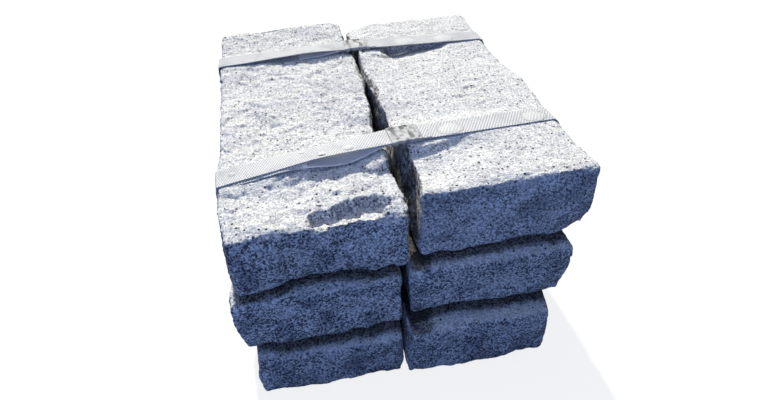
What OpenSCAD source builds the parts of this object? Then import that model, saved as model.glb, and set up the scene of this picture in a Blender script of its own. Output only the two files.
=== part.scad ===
// Strapped bundle of split granite kerbs: three layers of two kerbs, held by two plastic straps
// that are closed with crimped steel seals. Millimetres, +Z up, kerbs lie along Y.

/* [Kerbs] */
// Length of a kerb
kerb_length = 526; // [420:2:800]
// Width of a kerb across its bed
kerb_width = 206; // [160:2:280]
// Thickness of a kerb, which is the height of one layer
kerb_thickness = 88; // [70:1:130]
// Depth of the hollows that splitting leaves in the faces
split_relief = 8; // [2:0.5:10]
// Width of the broken arris along every edge
arris_width = 9; // [5:0.5:14]
// Depth to which an arris is broken back
arris_depth = 5; // [2:0.5:7]

/* [Stack] */
// Joint between the two columns of kerbs
joint_gap = 12; // [12:1:30]
// Height of the shoulders on the upper right kerb that lift the straps
shoulder_height = 7; // [4:1:20]
// Reach of such a shoulder around its top
shoulder_reach = 62; // [40:2:80]

/* [Straps] */
// Width of a strap
strap_width = 32; // [16:1:40]
// Thickness of a strap
strap_thickness = 1.2; // [0.8:0.1:2]
// Distance of the front strap from the front ends of the kerbs
front_strap_inset = 138; // [100:1:180]
// Distance of the rear strap from the back ends of the kerbs
rear_strap_inset = 95; // [60:1:130]
// Length of the free end that lies under the front strap
front_tail = 188; // [60:2:200]
// Length of the free end that lies under the rear strap
rear_tail = 74; // [40:2:140]
// Length of strap left past a seal after cutting
cut_end = 12; // [4:1:25]
// How far a free end sags below the taut strap
tail_sag = 9; // [0:0.5:10]

/* [Seals] */
// Length of a seal along the strap
seal_length = 40; // [25:1:60]
// Sheet thickness of a seal
seal_wall = 1; // [0.6:0.1:1.6]
// Room between a seal and the edges of its strap
seal_side_room = 1.2; // [0.8:0.1:2]
// Number of crimps pressed into a seal
seal_crimps = 3; // [1:1:4]

/* [Hidden] */

// Free space left between pieces that bear on each other
seat_clearance = 0.2;
// Distance between grid lines on the stone faces
stone_cell = 19;
// Width of the rough rim around a bed face, whose middle is flat, and the share of the relief there
bed_rim = 45;
bed_share = 0.6;
// Spacing of the coarse and of the fine hollows on a split face
coarse_hollow = 74;
fine_hollow = 31;
coarse_share = 0.62;
// Share of the hollows' range that is cut off, which leaves the plain parts of a face
plain_share = 0.3;
// Share of the hollows left on the crowns under the straps, and how far beside a strap that holds
strap_ground = 0.3;
ground_reach = 45;

// One row per kerb, bottom layer first: column (-1 left, 1 right), layer, seed of its hollows,
// shift across and along as shares of a kerb's width and length, turn in degrees, differences as
// shares of its width, length and thickness, roughness, and rise of its crown from the front end to
// the back end as a share of its thickness
KERBS = [
    [-1, 0, 11, [-0.0194, -0.0228], -1.2, [-0.0655, 0, -0.108], 1.0, 0],
    [1, 0, 23, [-0.1044, -0.0371], -0.9, [-0.034, 0.0038, 0.017], 1.0, 0],
    [-1, 1, 37, [-0.068, 0.0057], 0.4, [0.0146, 0, 0.0909], 1.0, 0],
    [1, 1, 41, [-0.0534, 0.0133], 0.1, [0.0388, -0.0038, -0.0341], 1.0, 0],
    [-1, 2, 53, [-0.036, 0.0228], 1.4, [0.0534, 0.0057, 0.0341], 1.5, 0.1364],
    [1, 2, 67, [0.0085, 0.0428], 1.7, [0.0874, -0.0114, 0.1875], 0.9, -0.08],
];
TOP_LAYER = 2;
COLUMN = 0;
LAYER = 1;
SEED = 2;
SHIFT = 3;
TURN = 4;
SIZE = 5;
ROUGH = 6;
RISE = 7;
TOP_LEFT = 4;
TOP_RIGHT = 5;

// Radius and depth of the largest flake scar
scar_radius = 60;
scar_depth = 12;
// Flake scars, each as kerb, place from its left side, front end and underside as shares of its
// size, and shares of the largest radius and depth
SCARS = [
    [4, [0.678, 0.049, 0.99], 1, 1],
    [4, [1, 0.144, 0.99], 0.867, 0.5],
    [4, [1, 0.352, 0.99], 0.733, 0.583],
    [4, [0.037, 0, 0.99], 0.567, 0.417],
    [4, [0.486, 0, 0], 1.233, 0.5],
    [5, [1, 0, 0], 0.55, 0.45],
    [5, [0.045, 0.127, 0.995], 1, 0.833],
    [5, [0.018, 0.34, 0.995], 0.833, 0.75],
    [5, [0, 1, 0.957], 0.75, 0.6],
    [2, [0, 0, 0], 0.767, 0.333],
    [3, [1, 0, 0], 0.6, 0.2],
    [0, [0, 0, 0.994], 0.833, 0.5],
    [1, [1, 0, 1], 0.6, 0.25],
];
SCAR_KERB = 0;
SCAR_AT = 1;
SCAR_RADIUS = 2;
SCAR_DEPTH = 3;

// Straps: place along the bundle, turn in degrees, length of the free end, share of the free end
// over which it sags, place of the seal from the joint edge of the upper right kerb, and share of the
// shoulder's height under it
STRAPS = [
    [front_strap_inset - kerb_length / 2, 4.5, front_tail, 0.6, 10, 1],
    [kerb_length / 2 - rear_strap_inset, 0.3, rear_tail, 2, 3, 0.8],
];
STRAP_Y = 0;
STRAP_TURN = 1;
STRAP_TAIL = 2;
STRAP_SAG = 3;
STRAP_SEAL = 4;
STRAP_SHOULDER = 5;

function sum(list, upto) = upto < 0 ? 0 : list[upto] + sum(list, upto - 1);
function mix(a, b, t) = a + (b - a) * t;
function turned(p, angle) = [p.x * cos(angle) - p.y * sin(angle), p.x * sin(angle) + p.y * cos(angle)];

// Sizes and places of the kerbs
function sized(size, shares) = [for (i = [0:len(shares) - 1]) size[i] * shares[i]];
KERB = [kerb_width, kerb_length, kerb_thickness];
function kerb_size(k) = KERB + sized(KERB, KERBS[k][SIZE]);
function below(k) = [for (b = [0:len(KERBS) - 1])
    if (KERBS[b][COLUMN] == KERBS[k][COLUMN] && KERBS[b][LAYER] < KERBS[k][LAYER]) kerb_size(b).z];
function kerb_base(k) = strap_thickness + seat_clearance + sum(below(k), len(below(k)) - 1);
function kerb_centre(k) =
    [KERBS[k][COLUMN] * (kerb_width + joint_gap) / 2, 0] + sized(KERB, KERBS[k][SHIFT]);
function kerb_to_bundle(k, p) =
    let (flat = turned([p.x, p.y], KERBS[k][TURN]) + kerb_centre(k))
    [flat.x, flat.y, p.z + kerb_base(k)];

// Grid lines across one direction of a kerb: the arrises, and even steps between them
function stations(size) =
    let (steps = max(2, round((size - 2 * arris_width) / stone_cell)))
    concat([0], [for (i = [0:steps]) mix(arris_width, size - arris_width, i / steps)], [size]);

// Height of a random lattice between its knots, from 0 to 1
function lattice(seed, pitch, u, v) =
    let (i = floor(u / pitch), j = floor(v / pitch), a = u / pitch - i, b = v / pitch - j)
    mix(
        mix(knot(seed, i, j), knot(seed, i, j + 1), b),
        mix(knot(seed, i + 1, j), knot(seed, i + 1, j + 1), b), a);
function knot(seed, i, j) = rands(0, 1, 1, seed * 7919 + i * 131 + j * 17)[0];
// Depth of the hollows, from 0 on the plain parts of a face to 1
function hollow(seed, u, v) =
    let (
        depth = coarse_share * lattice(seed, coarse_hollow, u, v)
            + (1 - coarse_share) * lattice(seed + 1, fine_hollow, u, v)
    )
    max(0, depth - plain_share) / (1 - plain_share);

// How much of the relief a bed face keeps: all of it at the rim, none in the flat middle
function rim_share(p, size) =
    let (inside = min(p.x, size.x - p.x, p.y, size.y - p.y))
    pow(max(0, 1 - inside / bed_rim), 1.5);

// Distance of a strap's line from the front end of a kerb
function strap_along(k, s) = s[STRAP_Y] - kerb_centre(k).y + kerb_size(k).y / 2;
// Shoulders of the upper right kerb under the straps, along its joint edge
function shoulder(k, p) =
    k != TOP_RIGHT ? 0 :
    max([for (s = STRAPS)
        let (away = norm([p.x - s[STRAP_SEAL] - seal_length / 4, p.y - strap_along(k, s)]))
        shoulder_height * s[STRAP_SHOULDER] * pow(max(0, 1 - away / shoulder_reach), 1.3)]);
// Share of the hollows on a crown: fewer are left on the high ground that the straps lie on
function ground_share(k, p) =
    let (off = min([for (s = STRAPS) abs(p.y - strap_along(k, s))]))
    mix(strap_ground, 1, min(1, max(0, off - strap_width / 2) / ground_reach));
function scar(k, p) = max(concat([0], [for (s = SCARS)
    if (s[SCAR_KERB] == k)
        let (away = norm(p - sized(kerb_size(k), s[SCAR_AT])))
        scar_depth * s[SCAR_DEPTH] * max(0, 1 - pow(away / (scar_radius * s[SCAR_RADIUS]), 2))]));

// How far the faces of a kerb lie inside its box at a point of theirs
function side_depth(k, p) =
    split_relief * hollow(KERBS[k][SEED] + 2 * sign(p.x), p.y, p.z) + scar(k, p);
function end_depth(k, p) =
    split_relief * hollow(KERBS[k][SEED] + 4 + 2 * sign(p.y), p.x, p.z) + scar(k, p);
function crown_depth(k, p, size) =
    split_relief * KERBS[k][ROUGH] * ground_share(k, p) * hollow(KERBS[k][SEED] + 8, p.x, p.y)
        - shoulder(k, p) + scar(k, p) - kerb_thickness * KERBS[k][RISE] * p.y / size.y;
function bed_depth(k, p, size) =
    p.z > 0 && KERBS[k][LAYER] == TOP_LAYER ? crown_depth(k, p, size) :
    rim_share(p, size)
        * (bed_share * split_relief * hollow(KERBS[k][SEED] + 6 + sign(p.z), p.x, p.y) + scar(k, p));

// A grid point of the box, which keeps its place between the split faces; edges are chipped as well
function inward(at, size) = at == 0 ? 1 : at == size ? -1 : 0;
function split_point(k, p, size) =
    let (
        into = [inward(p.x, size.x), inward(p.y, size.y), inward(p.z, size.z)],
        edge = norm(into) > 1.1,
        chip = edge
            ? arris_depth * lattice(KERBS[k][SEED] + 9, fine_hollow, p.x + p.y, p.z + 2 * p.x) : 0,
        left = side_depth(k, [0, p.y, p.z]),
        right = side_depth(k, [size.x, p.y, p.z]),
        front = end_depth(k, [p.x, 0, p.z]),
        back = end_depth(k, [p.x, size.y, p.z]),
        under = bed_depth(k, [p.x, p.y, 0], size),
        over = bed_depth(k, [p.x, p.y, size.z], size)
    )
    [
        mix(left, size.x - right, p.x / size.x) - size.x / 2,
        mix(front, size.y - back, p.y / size.y) - size.y / 2,
        mix(under, size.z - over, p.z / size.z)
    ] + chip * into;

// Rings of points around the section of a kerb, one at each station along it
function ring(across, up) = concat(
    [for (i = [0:len(across) - 1]) [across[i], up[0]]],
    [for (j = [1:len(up) - 1]) [across[len(across) - 1], up[j]]],
    [for (i = [len(across) - 2:-1:0]) [across[i], up[len(up) - 1]]],
    [for (j = [len(up) - 2:-1:1]) [across[0], up[j]]]);
function kerb_rings(k) =
    let (
        size = kerb_size(k),
        outline = ring(stations(size.x), stations(size.z))
    )
    [for (y = stations(size.y)) [for (q = outline)
        kerb_to_bundle(k, split_point(k, [q.x, y, q.y], size))]];
// Points inside the outline of an end face
function end_points(k, y) =
    let (size = kerb_size(k), across = stations(size.x), up = stations(size.z))
    [for (j = [1:len(up) - 2]) for (i = [1:len(across) - 2])
        kerb_to_bundle(k, split_point(k, [across[i], y, up[j]], size))];

RINGS = [for (k = [0:len(KERBS) - 1]) kerb_rings(k)];

// Two triangles over a grid cell, split along alternating diagonals
function cell(a, b, c, d, odd) = odd ? [[a, b, c], [a, c, d]] : [[a, b, d], [b, c, d]];
function flat_list(lists) = [for (l = lists) for (item = l) item];

module kerb(k) {
    size = kerb_size(k);
    nx = len(stations(size.x)) - 1;
    nz = len(stations(size.z)) - 1;
    rings = RINGS[k];
    around = len(rings[0]);
    along = len(rings);
    front_start = along * around;
    back_start = front_start + (nx - 1) * (nz - 1);
    points = concat(flat_list(rings), end_points(k, 0), end_points(k, size.y));
    function on_ring(i, j) =
        j == 0 ? i : i == nx ? nx + j : j == nz ? 2 * nx + nz - i : 2 * (nx + nz) - j;
    function end_index(i, j, first_ring, first_inner) =
        i == 0 || j == 0 || i == nx || j == nz
            ? first_ring + on_ring(i, j)
            : first_inner + (j - 1) * (nx - 1) + i - 1;
    skin = [for (s = [0:along - 2]) for (a = [0:around - 1])
        let (b = (a + 1) % around, lower = s * around, upper = lower + around)
        each cell(lower + a, upper + a, upper + b, lower + b, (s + a) % 2 == 0)];
    front = [for (i = [0:nx - 1]) for (j = [0:nz - 1])
        let (corner = function (u, v) end_index(i + u, j + v, 0, front_start))
        each cell(corner(0, 0), corner(1, 0), corner(1, 1), corner(0, 1), (i + j) % 2 == 0)];
    back = [for (i = [0:nx - 1]) for (j = [0:nz - 1])
        let (corner = function (u, v) end_index(i + u, j + v, front_start - around, back_start))
        each cell(corner(0, 0), corner(0, 1), corner(1, 1), corner(1, 0), (i + j) % 2 == 0)];
    color("lightgray") polyhedron(points, concat(skin, front, back), convexity = 6);
}

// The straps are worked out in their own vertical plane: across the bundle, and up
function to_strap(s, p) =
    let (flat = turned([p.x, p.y - STRAPS[s][STRAP_Y]], -STRAPS[s][STRAP_TURN])) [flat.x, p.z, flat.y];
function stone_points(s) = [for (k = [0:len(KERBS) - 1]) for (r = RINGS[k]) for (p = r)
    let (q = to_strap(s, p))
    if (abs(q.z) < strap_width / 2 + stone_cell) [q.x, q.y]];

// Convex loop around a list of points, counter-clockwise from one of its corners
function side_of(o, a, b) = (a.x - o.x) * (b.y - o.y) - (a.y - o.y) * (b.x - o.x);
function next_corner(points, from, i = 0, best = undef) =
    i == len(points) ? best :
    let (
        p = points[i],
        bend = best == undef ? -1 : side_of(from, best, p),
        further = best == undef || norm(p - from) > norm(best - from),
        better = norm(p - from) > 0.001 && (bend < -0.001 || (bend < 0.001 && further))
    )
    next_corner(points, from, i + 1, better ? p : best);
function taut_loop(points, loop) =
    let (corner = next_corner(points, loop[len(loop) - 1]))
    norm(corner - loop[0]) < 0.001 || len(loop) > 300 ? loop : taut_loop(points, concat(loop, [corner]));

// Stone near each strap, and the height at which the seal lies on it
STONES = [for (s = [0:len(STRAPS) - 1]) stone_points(s)];
SEAL_FLOORS = [for (stones = STONES) max([for (p = stones) p.y]) + seat_clearance];
// Middle of the seal across the bundle, and the straight stretch of strap through it, which goes
// a little past both of its ends
function seal_middle(s) =
    let (
        behind = STRAPS[s][STRAP_Y] - kerb_centre(TOP_RIGHT).y,
        edge = kerb_centre(TOP_RIGHT).x - kerb_size(TOP_RIGHT).x / 2 - behind * sin(KERBS[TOP_RIGHT][TURN])
    )
    edge + STRAPS[s][STRAP_SEAL];
seal_run = seal_length + 6;
function seal_stretch(s, height) =
    [for (end = [-1, 1]) [seal_middle(s) + end * seal_run / 2, height]];
function lower_stretch(s) = seal_stretch(s, SEAL_FLOORS[s] + seal_wall);
function upper_stretch(s) =
    seal_stretch(s, SEAL_FLOORS[s] + seal_wall + strap_thickness + seat_clearance);

// Loops of the lower layer, and the part of each that runs from the seal over the left kerb
LOWER_LOOPS = [for (s = [0:len(STRAPS) - 1])
    taut_loop(concat(STONES[s], lower_stretch(s)), [lower_stretch(s)[0]])];
OVER_LEFT = [for (loop = LOWER_LOOPS) [for (p = loop)
    if (p.x <= loop[0].x && p.y > kerb_base(TOP_LEFT) + kerb_thickness / 2) p]];

// The free end lies along that line and sags where it is loose, as far as the stone under it
TAIL_LENGTHS = [for (s = [0:len(STRAPS) - 1])
    min(STRAPS[s][STRAP_TAIL], OVER_LEFT[s][0].x - min([for (p = OVER_LEFT[s]) p.x]) - strap_width / 2)];
function along_tail(s, t) =
    let (x = OVER_LEFT[s][0].x - TAIL_LENGTHS[s] * t) [x, lookup(x, OVER_LEFT[s])];
tail_steps = 16;
function stone_top(s, x) = max([for (p = STONES[s]) if (abs(p.x - x) < stone_cell) p.y]);
function free_end(s) =
    [for (i = [1:tail_steps])
        let (
            t = i / tail_steps,
            line = along_tail(s, t),
            sag = tail_sag * pow(sin(180 * min(1, t / STRAPS[s][STRAP_SAG])), 2)
        )
        [line.x, max(line.y - sag, min(line.y, stone_top(s, line.x)))]];

// Route of the band: from its cut end through the seal as the upper layer, over the free end, down
// the left side, under the bundle, up the right side and back into the seal as the lower layer
function last_low(loop) =
    let (lowest = min([for (p = loop) p.y]))
    max([for (i = [0:len(loop) - 1]) if (loop[i].y < lowest + 0.01) i]);
function band_route(s) =
    let (
        over = upper_stretch(s),
        lift = [0, strap_thickness + seat_clearance],
        tail_top = [for (i = [1:tail_steps]) along_tail(s, i / tail_steps) + lift],
        leaving = taut_loop(concat(STONES[s], tail_top, over), [over[0]]),
        coming = LOWER_LOOPS[s]
    )
    concat(
        [over[1] + [cut_end - (seal_run - seal_length) / 2, 0]],
        [for (i = [0:last_low(leaving)]) leaving[i]],
        [for (i = [last_low(coming) + 1:len(coming) - 1]) coming[i]],
        [coming[0]], free_end(s));

// The route moved outwards, with arcs around its corners
function heading(a, b) = atan2(b.y - a.y, b.x - a.x) - 90;
function moved_out(route, by) = [for (i = [0:len(route) - 1])
    let (
        last = len(route) - 1,
        from = heading(route[max(i - 1, 0)], route[max(i, 1)]),
        to = heading(route[min(i, last - 1)], route[min(i + 1, last)]),
        bend = (to - from + 540) % 360 - 180,
        steps = bend > 8 ? ceil(bend / 15) : 0
    )
    for (n = [0:steps])
        let (angle = from + (steps == 0 ? bend / 2 : bend * n / steps))
        route[i] + by * [cos(angle), sin(angle)]];
function reversed(list) = [for (i = [len(list) - 1:-1:0]) list[i]];
module in_strap_plane(s) {
    translate([0, STRAPS[s][STRAP_Y], 0])
        rotate([0, 0, STRAPS[s][STRAP_TURN]]) rotate([90, 0, 0]) children();
}
module strap(s) {
    route = band_route(s);
    color("white") in_strap_plane(s)
        linear_extrude(height = strap_width, center = true)
            polygon(concat(
                moved_out(route, seat_clearance + strap_thickness),
                reversed(moved_out(route, seat_clearance))));
}

// Sleeve of folded sheet around both layers of the strap, with crimps pressed across it
module seal(s) {
    inner = [strap_width + 2 * seal_side_room, 2 * strap_thickness + 3 * seat_clearance];
    outer = inner + 2 * [seal_wall, seal_wall];
    crimp_radius = 5;
    crimp_depth = 0.6 * seal_wall;
    color("gainsboro") in_strap_plane(s)
        translate([seal_middle(s), SEAL_FLOORS[s] + outer.y / 2, 0])
            difference() {
                cube([seal_length, outer.y, outer.x], center = true);
                cube([seal_length + 2, inner.y, inner.x], center = true);
                for (i = [1:seal_crimps])
                    translate([
                        seal_length * (i / (seal_crimps + 1) - 0.5),
                        outer.y / 2 + crimp_radius - crimp_depth, 0])
                        cylinder(r = crimp_radius, h = outer.x + 2, center = true, $fn = 48);
            }
}

kerb(0);  // kerb_bottom_left
kerb(1);  // kerb_bottom_right
kerb(2);  // kerb_middle_left
kerb(3);  // kerb_middle_right
kerb(4);  // kerb_top_left
kerb(5);  // kerb_top_right
strap(0);  // strap_front
strap(1);  // strap_rear
seal(0);  // seal_front
seal(1);  // seal_rear
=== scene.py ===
# %% [markdown]
# # A strapped bundle of granite kerbs
# Six split granite kerbs lie in three layers of two. Two white plastic straps run round the
# bundle, and each is closed on top by a crimped steel seal. The solids come from the CAD model.
# This lesson gives them their looks: broken stone, embossed plastic and bent sheet steel.

import math

import bmesh
import bpy
from mathutils import Matrix, Vector, noise


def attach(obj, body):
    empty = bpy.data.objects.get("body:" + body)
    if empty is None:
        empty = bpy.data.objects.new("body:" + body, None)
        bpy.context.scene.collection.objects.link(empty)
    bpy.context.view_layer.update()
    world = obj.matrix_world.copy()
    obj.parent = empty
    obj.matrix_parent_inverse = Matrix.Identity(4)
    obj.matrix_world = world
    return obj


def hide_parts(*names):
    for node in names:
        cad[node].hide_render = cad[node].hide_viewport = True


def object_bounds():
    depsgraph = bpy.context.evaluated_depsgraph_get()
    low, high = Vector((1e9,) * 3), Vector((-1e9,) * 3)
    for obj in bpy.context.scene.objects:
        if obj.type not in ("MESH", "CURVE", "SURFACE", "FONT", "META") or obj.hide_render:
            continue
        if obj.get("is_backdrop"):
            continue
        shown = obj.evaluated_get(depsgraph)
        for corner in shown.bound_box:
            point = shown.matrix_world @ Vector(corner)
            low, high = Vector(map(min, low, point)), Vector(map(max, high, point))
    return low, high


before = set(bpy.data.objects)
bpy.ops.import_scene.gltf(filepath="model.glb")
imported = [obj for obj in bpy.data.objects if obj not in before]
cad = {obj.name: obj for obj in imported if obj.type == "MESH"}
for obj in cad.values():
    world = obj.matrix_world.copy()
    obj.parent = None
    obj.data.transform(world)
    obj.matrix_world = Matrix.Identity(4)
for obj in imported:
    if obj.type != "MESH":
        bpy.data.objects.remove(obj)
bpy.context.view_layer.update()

# %% [markdown]
# The picture was taken standing at one end of the bundle and looking down at it. A camera can be
# turned by hand until it looks right. Here its place and angles were solved from corners of the
# kerbs, so the matrix is written straight from them: the first column points right in the picture,
# the second up, and the third back towards the viewer.

# %% Camera
PICTURE_WIDTH = 760
FOCAL_PIXELS = 528.46
EYE = Vector((-0.11064, -0.67002, 0.64935))
YAW, PITCH, ROLL = -9.3585, 39.978, -2.352


def looking(yaw, pitch, roll):
    """Rotation of a camera that looks along +Y, turned by yaw, lowered by pitch and rolled."""
    ahead = Vector((-math.sin(yaw) * math.cos(pitch), math.cos(yaw) * math.cos(pitch),
                    -math.sin(pitch)))
    level = Vector((math.cos(yaw), math.sin(yaw), 0))
    upright = level.cross(ahead)
    right = math.cos(roll) * level + math.sin(roll) * upright
    up = math.cos(roll) * upright - math.sin(roll) * level
    return Matrix((right, up, -ahead)).transposed()


lens = bpy.data.cameras.new("viewer")
lens.sensor_fit = "HORIZONTAL"
lens.sensor_width = 36
lens.lens = FOCAL_PIXELS / PICTURE_WIDTH * lens.sensor_width
lens.clip_start, lens.clip_end = 0.01, 60
viewer = bpy.data.objects.new("viewer", lens)
turn = looking(math.radians(YAW), math.radians(PITCH), math.radians(ROLL))
viewer.matrix_world = Matrix.Translation(EYE) @ turn.to_4x4()
bpy.context.scene.collection.objects.link(viewer)
bpy.context.scene.camera = viewer
print("lens", round(lens.lens, 2), "mm")

# %% [markdown]
# Materials, floor and stone all need node trees. Linking nodes by hand takes many lines, so one
# class wraps a socket and lets arithmetic on it add the Math nodes, and one method adds any other
# node from its type, its settings and the values or links of its sockets.

# %% Node trees as expressions


class Wire:
    """An output socket. Arithmetic on it adds Math nodes to its tree."""

    def __init__(self, graph, socket):
        self.graph, self.socket = graph, socket

    def math(self, operation, *others):
        return self.graph.add("ShaderNodeMath", {"operation": operation},
                              dict(enumerate((self,) + others)))

    def __add__(self, other):
        return self.math("ADD", other)

    def __radd__(self, other):
        return self.math("ADD", other)

    def __sub__(self, other):
        return self.math("SUBTRACT", other)

    def __rsub__(self, other):
        return self.graph.number("SUBTRACT", other, self)

    def __mul__(self, other):
        return self.math("MULTIPLY", other)

    def __truediv__(self, other):
        return self.math("DIVIDE", other)

    def __pow__(self, other):
        return self.math("POWER", other)

    def __abs__(self):
        return self.math("ABSOLUTE")

    def ramp(self, low, high, to_low=0.0, to_high=1.0):
        """Eases smoothly from to_low at low to to_high at high."""
        return self.graph.add("ShaderNodeMapRange", {"interpolation_type": "SMOOTHSTEP"},
                              {0: self, 1: low, 2: high, 3: to_low, 4: to_high})


class Graph:
    """A node tree that nodes are added to."""

    def __init__(self, tree):
        self.tree = tree

    def add(self, kind, settings=None, sockets=None, out=0):
        """Adds any node; gives the output of that number, or the first one that is shown."""
        node = self.tree.nodes.new(kind)
        for name, value in (settings or {}).items():
            if name == "stops":
                set_stops(node.color_ramp, value)
            else:
                setattr(node, name, value)
        for key, value in (sockets or {}).items():
            if isinstance(value, Wire):
                self.tree.links.new(value.socket, node.inputs[key])
            else:
                node.inputs[key].default_value = value
        if len(node.outputs) == 0:
            return node
        if out == "shown":
            return Wire(self, next(s for s in node.outputs if s.enabled))
        return Wire(self, node.outputs[out])

    def number(self, operation, *values):
        return self.add("ShaderNodeMath", {"operation": operation}, dict(enumerate(values)))

    def vector(self, operation, *values, out=0):
        return self.add("ShaderNodeVectorMath", {"operation": operation},
                        dict(enumerate(values)), out)

    def blend(self, share, first, second, way="MIX"):
        """A colour between first and second."""
        return self.add("ShaderNodeMix", {"data_type": "RGBA", "blend_type": way},
                        {0: share, 6: first, 7: second}, out=2)

    def noise(self, place, scale, detail, roughness):
        return self.add("ShaderNodeTexNoise", None, {
            "Vector": place, "Scale": scale, "Detail": detail, "Roughness": roughness})


def set_stops(ramp, stops):
    """Gives a colour ramp its stops, each a place and a colour; the first item is the easing."""
    ramp.interpolation = stops[0]
    while len(ramp.elements) > 1:
        ramp.elements.remove(ramp.elements[-1])
    for index, (place, colour) in enumerate(stops[1:]):
        stop = ramp.elements[0] if index == 0 else ramp.elements.new(place)
        stop.position, stop.color = place, colour


def finish_named(name):
    """A new material with an empty node tree, and the graph of that tree."""
    material = bpy.data.materials.new(name)
    material.use_nodes = True
    material.node_tree.nodes.clear()
    return material, Graph(material.node_tree)


def close_finish(graph, surface):
    """Sends a shader to the material's output."""
    graph.add("ShaderNodeOutputMaterial", None, {"Surface": surface})


print("node helpers ready")

# %% [markdown]
# The bundle stands outdoors in sun that comes from behind it, so the tops are bright and the
# ends towards the viewer lie in blue shade. One warm sun with a wide disc gives the soft-edged
# shadows, one panel overhead and a blue one before the ends fill in, and the world gives the cool
# light of the sky. The world looks white to the camera and in reflections only, so that its white
# adds no light to the shaded ends.

# %% Light
SUN_FROM_LEFT = math.radians(3)
SUN_HEIGHT = math.radians(44)
SKY_TINT = (0.10, 0.145, 0.26, 1)
WHITE = (1, 1, 1, 1)


def lamp(name, kind, energy, tint, eye, aim, size):
    """A lamp at eye that shines towards aim; size is a sun's disc in degrees or a panel's side."""
    light = bpy.data.lights.new(name, kind)
    light.energy, light.color = energy, tint
    if kind == "SUN":
        light.angle = math.radians(size)
    else:
        light.shape, light.size = "SQUARE", size
    holder = bpy.data.objects.new(name, light)
    holder.location = eye
    holder.rotation_mode = "QUATERNION"
    holder.rotation_quaternion = (Vector(aim) - Vector(eye)).to_track_quat("-Z", "Y")
    bpy.context.scene.collection.objects.link(holder)


sun_place = 3 * Vector((-math.sin(SUN_FROM_LEFT) * math.cos(SUN_HEIGHT),
                        math.cos(SUN_FROM_LEFT) * math.cos(SUN_HEIGHT), math.sin(SUN_HEIGHT)))
lamp("sun", "SUN", 4.9, (1.0, 0.955, 0.83), sun_place, (0, 0, 0), 1.6)
lamp("overhead_panel", "AREA", 14.0, (1.0, 0.99, 0.97), (0, 0.75, 2.6), (0, 0.45, 0), 1.6)
lamp("end_panel", "AREA", 12.0, (0.222, 0.385, 0.985), (-0.9, -2.0, 1.2), (0, -0.2, 0.1), 1.4)


def seen_directly(graph):
    """1 for rays from the camera, mirrors and glass, and 0 for light that falls on the object."""
    path = graph.add("ShaderNodeLightPath").socket.node
    seen = [Wire(graph, path.outputs[name])
            for name in ("Is Camera Ray", "Is Glossy Ray", "Is Transmission Ray")]
    return seen[0].math("MAXIMUM", seen[1]).math("MAXIMUM", seen[2])


world = bpy.data.worlds.new("sky")
world.use_nodes = True
world.node_tree.nodes.clear()
sky = Graph(world.node_tree)
light = sky.add("ShaderNodeBackground", None, {"Color": SKY_TINT, "Strength": 1.0})
shown = sky.add("ShaderNodeBackground", None, {"Color": WHITE, "Strength": 1.0})
both = sky.add("ShaderNodeMixShader", None, {0: seen_directly(sky), 1: light, 2: shown})
sky.add("ShaderNodeOutputWorld", None, {"Surface": both})
bpy.context.scene.world = world
bpy.context.scene.view_settings.view_transform = "Standard"
print("sun height", round(math.degrees(SUN_HEIGHT)), "degrees")

# %% [markdown]
# The floor is a stage and no part of the object. A shadow catcher would need a white picture laid
# behind it, so a plain square is used that is mostly glowing white, with a little matte white that
# takes the shadow. Light that would bounce from it to the stone meets a dull blue tint instead.

# %% Floor
GROUND_TINT = (0.06, 0.08, 0.13, 1)
GLOW_SHARE = 0.85
REACH = 14

ground_finish, ground = finish_named("pale_floor")
matte = ground.add("ShaderNodeBsdfDiffuse", None, {"Color": WHITE})
glow = ground.add("ShaderNodeEmission", None, {"Color": WHITE, "Strength": 1.0})
pale = ground.add("ShaderNodeMixShader", None, {0: GLOW_SHARE, 1: matte, 2: glow})
dull = ground.add("ShaderNodeBsdfDiffuse", None, {"Color": GROUND_TINT})
close_finish(ground, ground.add("ShaderNodeMixShader", None,
                                {0: seen_directly(ground), 1: dull, 2: pale}))

floor_mesh = bpy.data.meshes.new("floor")
corners = [(-REACH, -REACH, 0), (REACH, -REACH, 0), (REACH, REACH, 0), (-REACH, REACH, 0)]
floor_mesh.from_pydata(corners, [], [(0, 1, 2, 3)])
floor_mesh.materials.append(ground_finish)
floor = bpy.data.objects.new("floor", floor_mesh)
bpy.context.scene.collection.objects.link(floor)
floor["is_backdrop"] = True
print("floor", 2 * REACH, "m wide")

# %% [markdown]
# The stone is a pale salt-and-pepper granite: white feldspar, grey quartz and flecks of black mica,
# from about two to seven millimetres across. Cells of a Voronoi texture stand for the crystals, and
# a cell's random colour picks its mineral, together with finer grit. The cells' borders are bent by
# noise, since crystals aren't polygons.
# Splitting bruises the stone, so ridges are paler than hollows, and faces that look up hold dust.
# Hollows on the side faces are darkened further as painted shade, and the arrises are paler, partly
# from bruising and partly as a painted highlight. Each kerb has a tone of its own, and the two
# bottom kerbs are darker as painted shade. The joints and the slot between the columns are darkened
# as painted shade: the trees further down store the tones and this shade.

# %% Granite
DARK_GRAIN = (0.105, 0.112, 0.135, 1)
QUARTZ = (0.36, 0.375, 0.41, 1)
FELDSPAR = (0.64, 0.65, 0.665, 1)
WHITE_GRAIN = (0.93, 0.935, 0.93, 1)
# black mica, also used as a painted near-black shade on the slot floor
MICA_AND_SHADE = (0.03, 0.032, 0.038, 1)
# bruised stone, also used as a painted highlight on the arrises
BRUISE_AND_HIGHLIGHT = (0.84, 0.85, 0.86, 1)
# a darker tone: clouds in the stone, and painted shade in hollows and on the bottom kerbs
SOOT_AND_SHADE = (0.50, 0.52, 0.57, 1)
CHALK = (0.34, 0.34, 0.345, 1)
DUST = (0.85, 0.855, 0.85, 1)
# painted shade for the joints and the slot
JOINT_SHADE = (0.25, 0.22, 0.185, 1)
# spots and waves for each metre, how far crystals are bent and how high grains stand, in metres
WOBBLES = 800.0
CRYSTALS = 540.0
GRIT = 400.0
CLOUDS = 27.0
BEND = 0.0008
GRAIN_HEIGHT = 0.0022

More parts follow.
